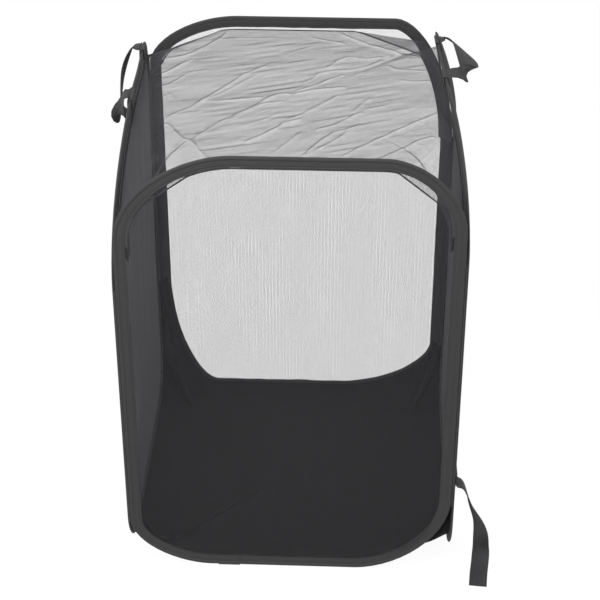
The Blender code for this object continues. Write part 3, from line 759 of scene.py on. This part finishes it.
top_rims = four_rims(top_seam, RIM_STEP)
top_net_cloth = net_material("top_net_cloth", True)
TOP_COUNT = int(RIB_REACH / WALE_PITCH)
plan_x = np.arange(-CAGE_WIDTH / 2, CAGE_WIDTH / 2 + RIB_STEP / 10, RIB_STEP)
plan_y = np.arange(-CAGE_DEPTH / 2, CAGE_DEPTH / 2 + MARK_STEP / 10, MARK_STEP)
plan_end = len(plan_x) - 1
grid_x, grid_y = np.meshgrid(plan_x, plan_y, indexing="ij")
marks_y = grid_y + top_fall(grid_x, grid_y)[2]
lines = np.arange(-TOP_COUNT, TOP_COUNT + 1) * WALE_PITCH
rib_y = np.array([np.interp(lines, np.maximum.accumulate(marks), plan_y) for marks in marks_y]).T


def sector_of(hoop, rim, x, y):
    normal = x * hoop.out[0] + y * hoop.out[1]
    sideways = x * hoop.along[0] + y * hoop.along[1]
    rim_normal = rim[:, 0] * hoop.out[0] + rim[:, 1] * hoop.out[1]
    rim_side = rim[:, 0] * hoop.along[0] + rim[:, 1] * hoop.along[1]
    slopes = np.maximum.accumulate(rim_side / rim_normal)
    slope = sideways / np.maximum(normal, 1e-6)
    share = normal / np.interp(slope, slopes, rim_normal)
    return slope, slopes, share, np.interp(slope, slopes, rim[:, 2])


for side in RING_ORDER:
    hoop, rim = HOOPS[side], top_rims[side]
    rim_fall = top_fall(rim[:, 0], rim[:, 1])[0]

    def sheet(u, v):
        spot = np.rint(u * (len(rim) - 1)).astype(int)
        share = v
        x, y = rim[spot, 0] * share, rim[spot, 1] * share
        z = top_height(x, y, share, rim[spot, 2], rim_fall[spot])
        _, slide_x, slide_y = top_fall(x, y)
        return np.stack([x, y, z], 1), np.stack([x + slide_x, y + slide_y], 1)

    rows = {"front": (0, TOP_COUNT), "back": (TOP_COUNT, TOP_COUNT * 2)}.get(side, (0, TOP_COUNT * 2))
    columns = {"left": (0, plan_end // 2), "right": (plan_end // 2, plan_end)}.get(side, (0, plan_end))
    rib_count = rows[1] - rows[0] + 1
    step_count = columns[1] - columns[0]

    def ribs(u, v):
        line = np.rint(u * (rib_count * 2 - 1)).astype(int)
        spot = np.rint(v * step_count).astype(int) + columns[0]
        x, y = plan_x[spot], rib_y[line // 2 + rows[0], spot]
        slope, slopes, share, edge = sector_of(hoop, rim, x, y)
        over = np.maximum(share, 1)
        x, y, share = x / over, y / over, np.clip(share, 0, 1)
        z = top_height(x, y, share, edge, np.interp(slope, slopes, rim_fall)) + (line % 2 - 0.5) * TOP_WALE_DEPTH
        _, slide_x, slide_y = top_fall(x, y)
        return np.stack([x, y, z], 1), np.stack([x + slide_x, y + slide_y], 1)

    def in_sector(middle):
        line = int(middle[0] * (rib_count * 2 - 1))
        if line % 2:
            return False
        spot = int(middle[1] * step_count) + columns[0]
        x, y = np.array([(plan_x[spot] + plan_x[spot + 1]) / 2]), np.array([rib_y[line // 2 + rows[0], spot]])
        slope, slopes, share, edge = sector_of(hoop, rim, x, y)
        return x @ hoop.out[:1] + y @ hoop.out[1:2] > 0 and slopes[0] < slope[0] < slopes[-1] and share[0] < 1

    cloth = Cloth(side + "_top")
    cloth.lay(len(rim) - 1, TOP_ROWS, sheet)
    cloth.lay(rib_count * 2 - 1, step_count, ribs, in_sector)
    part = cloth.finish(top_net_cloth, 180)
    settle(part, BODIES[side], "top_net")
    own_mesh(part)


# The top's hem. The net's edge is turned over once and stitched to the bindings, which leaves
# a dark band all round the top.
HEM_WIDTH = 0.0024
HEM_MARK_STEP = 0.0008
HEM_SECTION = ((0, 0.2), (0.2, 0.34), (0.8, 0.28), (1.2, 0.16), (1.6, 0.28), (2.2, 0.34), (2.4, 0.2),
               (2.4, -0.2), (2.2, -0.3), (0.2, -0.3), (0, -0.2))
for side in RING_ORDER:
    hoop, rim = HOOPS[side], top_rims[side]
    rim_fall = top_fall(rim[:, 0], rim[:, 1])[0]
    span = np.hypot(rim[:, 0], rim[:, 1])

    def drawn(distance):
        share = 1 - distance / span
        x, y = rim[:, 0] * share, rim[:, 1] * share
        return np.stack([x, y, top_height(x, y, share, rim[:, 2], rim_fall)], 1)

    inner = drawn(HEM_WIDTH)
    normal = np.cross(np.gradient(rim, axis=0), rim - inner)
    normal = normal / np.linalg.norm(normal, axis=1)[:, None]
    normal = normal * np.where(normal[:, 2:] < 0, -1, 1)
    section = np.array(HEM_SECTION) / 1000
    rounds = np.array([rim + (inner - rim) * d / HEM_WIDTH + normal * lift for d, lift in section])

    def hem_place(u, v):
        spot = np.rint(u * (len(rim) - 1)).astype(int)
        line = np.rint(v * len(section)).astype(int)
        return rounds[line % len(section), spot], np.stack([spot * RIM_STEP, line * HEM_MARK_STEP], 1)

    hem = Cloth(side + "_hem")
    hem.lay(len(rim) - 1, len(section), hem_place)
    hem.close()
    band = hem.finish(tape_cloth)
    settle(band, BODIES[side], "top_hem")
    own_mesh(band)


# The floor. Plain woven black cloth, flat on the ground, with its edge turned up to the bindings
# and up the lower corners. It too is in four parts, each folding with its hoop.
FLOOR_INSET = 0.009
FLOOR_RISES = {"front": (0.100, 0.070), "right": (0.080, 0.100), "back": (0.167, 0.080), "left": (0.070, 0.167)}
FLOOR_TURN = 0.055
FLOOR_THICKNESS = 0.001
FLOOR_ROWS = 64
FLOOR_RIM_STEP = 0.004
FLOOR_SOFT = 0.0008
FLOOR_THREAD_PITCH = 0.0012
FLOOR_THREAD_HEIGHT = 0.00008


def floor_seam(side):
    loop = inset_loop(HOOPS[side].outline, FLOOR_INSET)
    loop = np.roll(loop, -int(np.argmax(loop[:, 0] < 0)), 0)
    run = []
    for first, second in zip(loop, loop[1:]):
        high = FLOOR_RISES[side][0 if second[0] > 0 else 1]
        if min(first[1], second[1]) < high <= max(first[1], second[1]):
            run.append(first + (second - first) * (high - first[1]) / (second[1] - first[1]))
        if second[1] < high:
            run.append(second)
    return np.array(run)


floor_weave = Finish("floor_weave")
floor_threads = ((floor_weave.along() * (2 * math.pi / FLOOR_THREAD_PITCH)).wave() * 0.5
                 + (floor_weave.across() * (2 * math.pi / FLOOR_THREAD_PITCH)).wave() * 0.5)
floor_dust = floor_weave.grain(35, 4)
floor_weave.set(
    Base_Color=floor_weave.tinted(floor_dust, (0.0030, 0.0028, 0.0032), (0.0065, 0.0061, 0.0065)),
    Roughness=0.7 + floor_dust * 0.15, Normal=floor_weave.bumped(floor_threads, FLOOR_THREAD_HEIGHT),
    Specular_IOR_Level=0.2)

floor_rims = four_rims(floor_seam, FLOOR_RIM_STEP)
for side in RING_ORDER:
    hoop, rim = HOOPS[side], floor_rims[side]
    span = np.hypot(rim[:, 0], rim[:, 1])
    ease = FLOOR_TURN * span / span.max()

    def floor_place(u, v):
        spot = np.rint(u * (len(rim) - 1)).astype(int)
        rise = np.maximum(0, 1 - span[spot] * (1 - v) / ease[spot]) ** 2
        x, y = rim[spot, 0] * v, rim[spot, 1] * v
        soft = np.clip(lumps(x / 0.05 + 3, y / 0.05, 21) + 0.6 * lumps(x / 0.018, y / 0.03, 22), 0, 2)
        z = rim[spot, 2] * rise + FLOOR_SOFT * soft * (1 - v ** 6) + FLOOR_THICKNESS
        return np.stack([x, y, z], 1), np.stack([x, y], 1)

    ground_cloth = Cloth(side + "_floor")
    ground_cloth.lay(len(rim) - 1, FLOOR_ROWS, floor_place)
    part = ground_cloth.finish(floor_weave.material, 180)
    settle(part, BODIES[side], "floor_cloth")
    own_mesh(part)


# The corner seams. Where two hoops meet, their bindings are whipped together with black thread
# from the foot's curve to the head's, and the roll of thread is the hinge that the cage folds on.
SEAM_RADIUS = 0.0013
SEAM_TAIL = 0.006
STITCH_PITCH = 0.0021
STITCH_STEPS, STITCH_SIDES = 420, 12
PLY_LENGTH, PLY_WIDTH, PLY_HEIGHT = 0.0011, 0.0019, 0.0001
thread = Finish("black_thread")
twist = (thread.along() * (2 * math.pi / PLY_LENGTH) + thread.across() * (2 * math.pi / PLY_WIDTH)).wave()
thread.set(Base_Color=thread.tinted(twist * 0.5 + 0.5, (0.014, 0.014, 0.015), (0.040, 0.039, 0.041)),
           Roughness=0.62 + twist * 0.05, Normal=thread.bumped(twist, PLY_HEIGHT))
SEAMS = (("front_right", "front", "right", "front"), ("back_right", "right", "back", "back"),
         ("back_left", "back", "left", "left_side"), ("front_left", "left", "front", "front"))
for corner, first, second, body in SEAMS:
    hoop = HOOPS[first]
    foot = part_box(corner + "_corner_seam")[0][2] - SEAM_TAIL
    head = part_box(corner + "_corner_seam")[1][2]
    axis = hoop.middle + hoop.along * hoop.half

    def roll(u, v):
        turn = v * 2 * math.pi
        wrap = SEAM_RADIUS * (0.98 + 0.02 * np.sin(u * (head - foot) / STITCH_PITCH * 2 * math.pi + turn))
        spots = [axis[0] + wrap * np.cos(turn), axis[1] + wrap * np.sin(turn), foot + (head - foot) * u]
        return np.stack(spots, 1), np.stack([u * (head - foot), v * SEAM_RADIUS * 2 * math.pi], 1)

    stitches = Cloth(corner + "_stitches")
    stitches.lay(STITCH_STEPS, STITCH_SIDES, roll)
    stitches.close()
    settle(stitches.finish(thread.material), body, corner + "_corner_seam")


# The two carry handles. Each is one length of 20 mm black webbing, its ends folded over the binding
# and sewn, and the rest of it standing out and hanging in a soft loop beside the cage.
WEBBING_HALF = 0.010
WEBBING_THICKNESS = 0.0012
HERRINGBONE_PITCH = 0.0013
HERRINGBONE_WIDTH = 0.0052
HERRINGBONE_HEIGHT = 0.00012
END_STEPS, LOOP_STEPS = 16, 72

# The webbing's upper half in section, in millimetres, with a groove inside each edge
WEBBING_SECTION = ((-10.0, 0), (-9.9, 0.36), (-9.5, 0.56), (-8.2, 0.6), (-7.8, 0.42), (-7.4, 0.6), (-3.7, 0.62),
                   (0, 0.63), (3.7, 0.62), (7.4, 0.6), (7.8, 0.42), (8.2, 0.6), (9.5, 0.56), (9.9, 0.36), (10.0, 0))

# Points along each loop, from its front end to its back end: how far each stands out, drops, and
# lies along the rim, as shares of the loop's reach, droop and half length
HANDLE_OUT = {"left": (0.0, 0.22, 0.52, 0.74, 0.92, 0.45, 0.0), "right": (0.0, 0.30, 0.74, 1.0, 0.74, 0.30, 0.0)}
HANDLE_DROP = (0.0, 0.10, 0.62, 1.0, 0.62, 0.10, 0.0)
HANDLE_ALONG = (-1.0, -1.0, -0.88, -0.38, 0.65, 1.0, 1.0)
HANDLE_LAP = 0.0014

# Which way the webbing's width lies at each of those points: along the rim, out and up
HANDLE_WIDTHS = {
    "left": ((1, 0, 0), (1, 0.1, 0), (0.8, 0.5, -0.1), (0.45, 0.15, -0.85), (0.6, 0, -0.8), (0.93, 0, -0.35),
             (1, 0, 0)),
    "right": ((1, 0, 0), (1, 0, 0.1), (0.85, 0.4, 0.2), (0.5, 0.75, 0.1), (0.7, 0.45, -0.5), (0.9, 0, -0.4),
              (1, 0, 0)),
}
FLOP_STANDOFF = 0.0009 * math.sin(math.pi / 4)
HANDLE_AXIS_OUT = 0.00465 + FLOP_STANDOFF
HANDLE_AXIS_UP = 0.0015 + FLOP_STANDOFF

# The sewn end in section, in millimetres below the crown's edge and out from the hoop's seam plane
END_SECTION = ((11, -0.15), (3, -0.15), (1.2, -0.2), (0.1, -0.2), (-0.35, 0.3), (-0.3, 1.7), (-0.3, 2.9), (0.2, 3.45),
               (1.2, 3.45), (3, 3.45), (9, 3.45), (9, 4.65), (3, 4.65), (0.6, 4.65), (-0.9, 4.2), (-1.5, 3.2),
               (-1.5, 0.2), (-1.1, -0.9), (0.3, -1.35), (3, -1.35), (11, -1.35))


def smooth_run(points, steps):
    spots = np.array(points, float)
    padded = np.vstack([spots[:1] * 2 - spots[1:2], spots, spots[-1:] * 2 - spots[-2:-1]])
    spans = len(spots) - 1
    walk = spans * np.arange(steps + 1) / steps
    span = np.minimum(walk.astype(int), spans - 1)
    t = (walk - span)[:, None]
    a, b, c, d = (padded[span + k] for k in range(4))
    return (b * 2 + (c - a) * t + (a * 2 - b * 5 + c * 4 - d) * t ** 2 + (b * 3 - a - c * 3 + d) * t ** 3) / 2


webbing = Finish("black_webbing")
web_along, web_across = webbing.along(), webbing.across()
web_slant = ((web_across / HERRINGBONE_WIDTH) % 1.0 - 0.5).size() * HERRINGBONE_WIDTH
herringbone = ((web_along + web_slant) * (2 * math.pi / HERRINGBONE_PITCH)).wave()
web_wear = webbing.grain(70, 3)
webbing.set(
    Base_Color=webbing.tinted(web_wear * 0.6 + herringbone * 0.15 + 0.2, (0.022, 0.022, 0.024), (0.047, 0.046, 0.049)),
    Roughness=0.58 + web_wear * 0.15, Normal=webbing.bumped(herringbone, HERRINGBONE_HEIGHT),
    Specular_IOR_Level=0.4)


# A strip of webbing along a smooth run of points, turned by its width directions
def webbing_strip(name, points, widths, steps, lowest=0.0):
    run = smooth_run(points, steps)
    run[:, 2] = np.maximum(run[:, 2], lowest)
    across = smooth_run(widths, steps)
    ahead = np.gradient(run, axis=0)
    ahead = ahead / np.linalg.norm(ahead, axis=1)[:, None]
    side = across - ahead * (across * ahead).sum(1)[:, None]
    side = side / np.linalg.norm(side, axis=1)[:, None]
    up = np.cross(ahead, side)
    section = np.array(WEBBING_SECTION)
    section = np.vstack([section, section[::-1][1:-1] * (1, -1)]) / 1000
    rings = run[:, None] + side[:, None] * section[None, :, :1] + up[:, None] * section[None, :, 1:]
    walk = distance_along(run)

    def place(u, v):
        spot = np.rint(u * steps).astype(int)
        line = np.rint(v * len(section)).astype(int)
        return rings[spot, line % len(section)], np.stack([walk[spot], section[line % len(section), 0]], 1)

    strip = Cloth(name)
    strip.lay(steps, len(section), place)
    strip.close()
    return strip.finish(webbing.material, 40)


def crown_point(hoop, s, inset, level):
    loop = inset_loop(hoop.outline, inset)
    loop = loop[loop[:, 1] > CAGE_HEIGHT / 2]
    loop = loop[np.argsort(loop[:, 0], kind="stable")]
    return hoop.place(s, np.interp(s, loop[:, 0], loop[:, 1]), level)


# Where the two ends of each handle are sewn along the rim, and its loop's reach and droop
HANDLES = {"left": (0.033, -0.082, 0.019, 0.041), "right": (0.024, 0.115, 0.026, 0.006)}
for side, (front_s, back_s, reach, droop) in HANDLES.items():
    hoop = HOOPS[side]
    for end, middle in (("front", front_s), ("back", back_s)):
        section = np.array(END_SECTION) / 1000

        def fold(u, v):
            line = np.rint(v * len(section)).astype(int)
            spot = line % len(section)
            s = middle + (u * 2 - 1) * WEBBING_HALF
            points = np.zeros((len(u), 3))
            for index in range(len(section)):
                chosen = spot == index
                points[chosen] = crown_point(hoop, s[chosen], section[index, 0], section[index, 1])
            return points, np.stack([section[spot, 0] + section[spot, 1], s - middle], 1)

        strap_end = Cloth(side + "_strap_" + end)
        strap_end.lay(END_STEPS, len(section), fold)
        strap_end.close()
        settle(strap_end.finish(webbing.material), BODIES[side], side + "_handle_" + end + "_end")
    ends = [crown_point(hoop, np.array([s]), -HANDLE_AXIS_UP, HANDLE_AXIS_OUT)[0] for s in (front_s, back_s)]
    pivot = (ends[0] + ends[1]) / 2
    along = (ends[1] - ends[0]) / np.linalg.norm(ends[1] - ends[0])
    out = hoop.out - along * (hoop.out @ along)
    out = out / np.linalg.norm(out)
    down = np.cross(out, along)
    down = down if down[2] < 0 else -down
    half = np.linalg.norm(ends[1] - ends[0]) / 2
    points, widths = [], []
    for away, drop, share, width in zip(HANDLE_OUT[side], HANDLE_DROP, HANDLE_ALONG, HANDLE_WIDTHS[side]):
        points.append(pivot + along * share * half + out * away * reach + down * drop * droop)
        widths.append(along * width[0] + out * width[1] - down * width[2])
    for end in (0, -1):
        points[end] = points[end] + (down * 0.5 - out) * HANDLE_LAP
    strap = webbing_strip(side + "_carry_strap", points, widths, LOOP_STEPS)
    settle(strap, side + "_handle", side + "_handle_loop")


# The closing strap. A short length of the same webbing, its root sewn flat to the right binding
# low at the front, and its free end resting on the ground. It is pulled round the folded cage.
STRAP_HEIGHT = 0.118
STRAP_ROOT_INSET = 0.0115
STRAP_ROOT_LENGTH = 0.016
STRAP_REACH = 0.034
STRAP_FORWARD = 0.0385
STRAP_STEPS, ROOT_STEPS = 84, 10
TAPE_TOP = 0.00345
STRAP_OUT_SHARES = (0.0, 0.235, 0.484, 0.85, 0.97, 0.955, 0.88, 0.82)
STRAP_FORWARD_SHARES = (0.0, 0.0, 0.07, -0.04, -0.35, -0.09, 0.43, 1.0)
STRAP_HEIGHT_SHARES = (1.0, 0.949, 0.762, 0.473, 0.15, 0.03, 0.0, 0.0)
STRAP_WIDTH_SHARES = (
    (0, -1, 0), (0, -0.97, 0.2), (0.05, -0.84, 0.53), (0.55, -0.75, 0.35),
    (0.85, -0.45, 0.1), (0.97, -0.2, 0), (1, -0.05, 0), (1, 0.08, 0),
)
hoop = HOOPS["right"]
root_s = STRAP_ROOT_INSET - hoop.half
root_low = STRAP_HEIGHT + FLOP_STANDOFF
root_level = TAPE_TOP + WEBBING_THICKNESS / 2
root = webbing_strip(
    "strap_root", [hoop.place(root_s, root_low + STRAP_ROOT_LENGTH * k, root_level)[0] for k in (0, 0.5, 1)],
    [(0, -1, 0)] * 3, ROOT_STEPS)
settle(root, "right_side", "closing_strap_root")
start = hoop.place(root_s, STRAP_HEIGHT, TAPE_TOP + WEBBING_THICKNESS + FLOP_STANDOFF)[0]
points = []
for out, forward, height in zip(STRAP_OUT_SHARES, STRAP_FORWARD_SHARES, STRAP_HEIGHT_SHARES):
    drop = (start[2] - WEBBING_THICKNESS / 2) * (1 - height)
    points.append(start + (out * STRAP_REACH, -forward * STRAP_FORWARD, -drop))
tail = webbing_strip("strap_tail", points, STRAP_WIDTH_SHARES, STRAP_STEPS, WEBBING_THICKNESS / 2)
settle(tail, "closing_strap", "closing_strap")
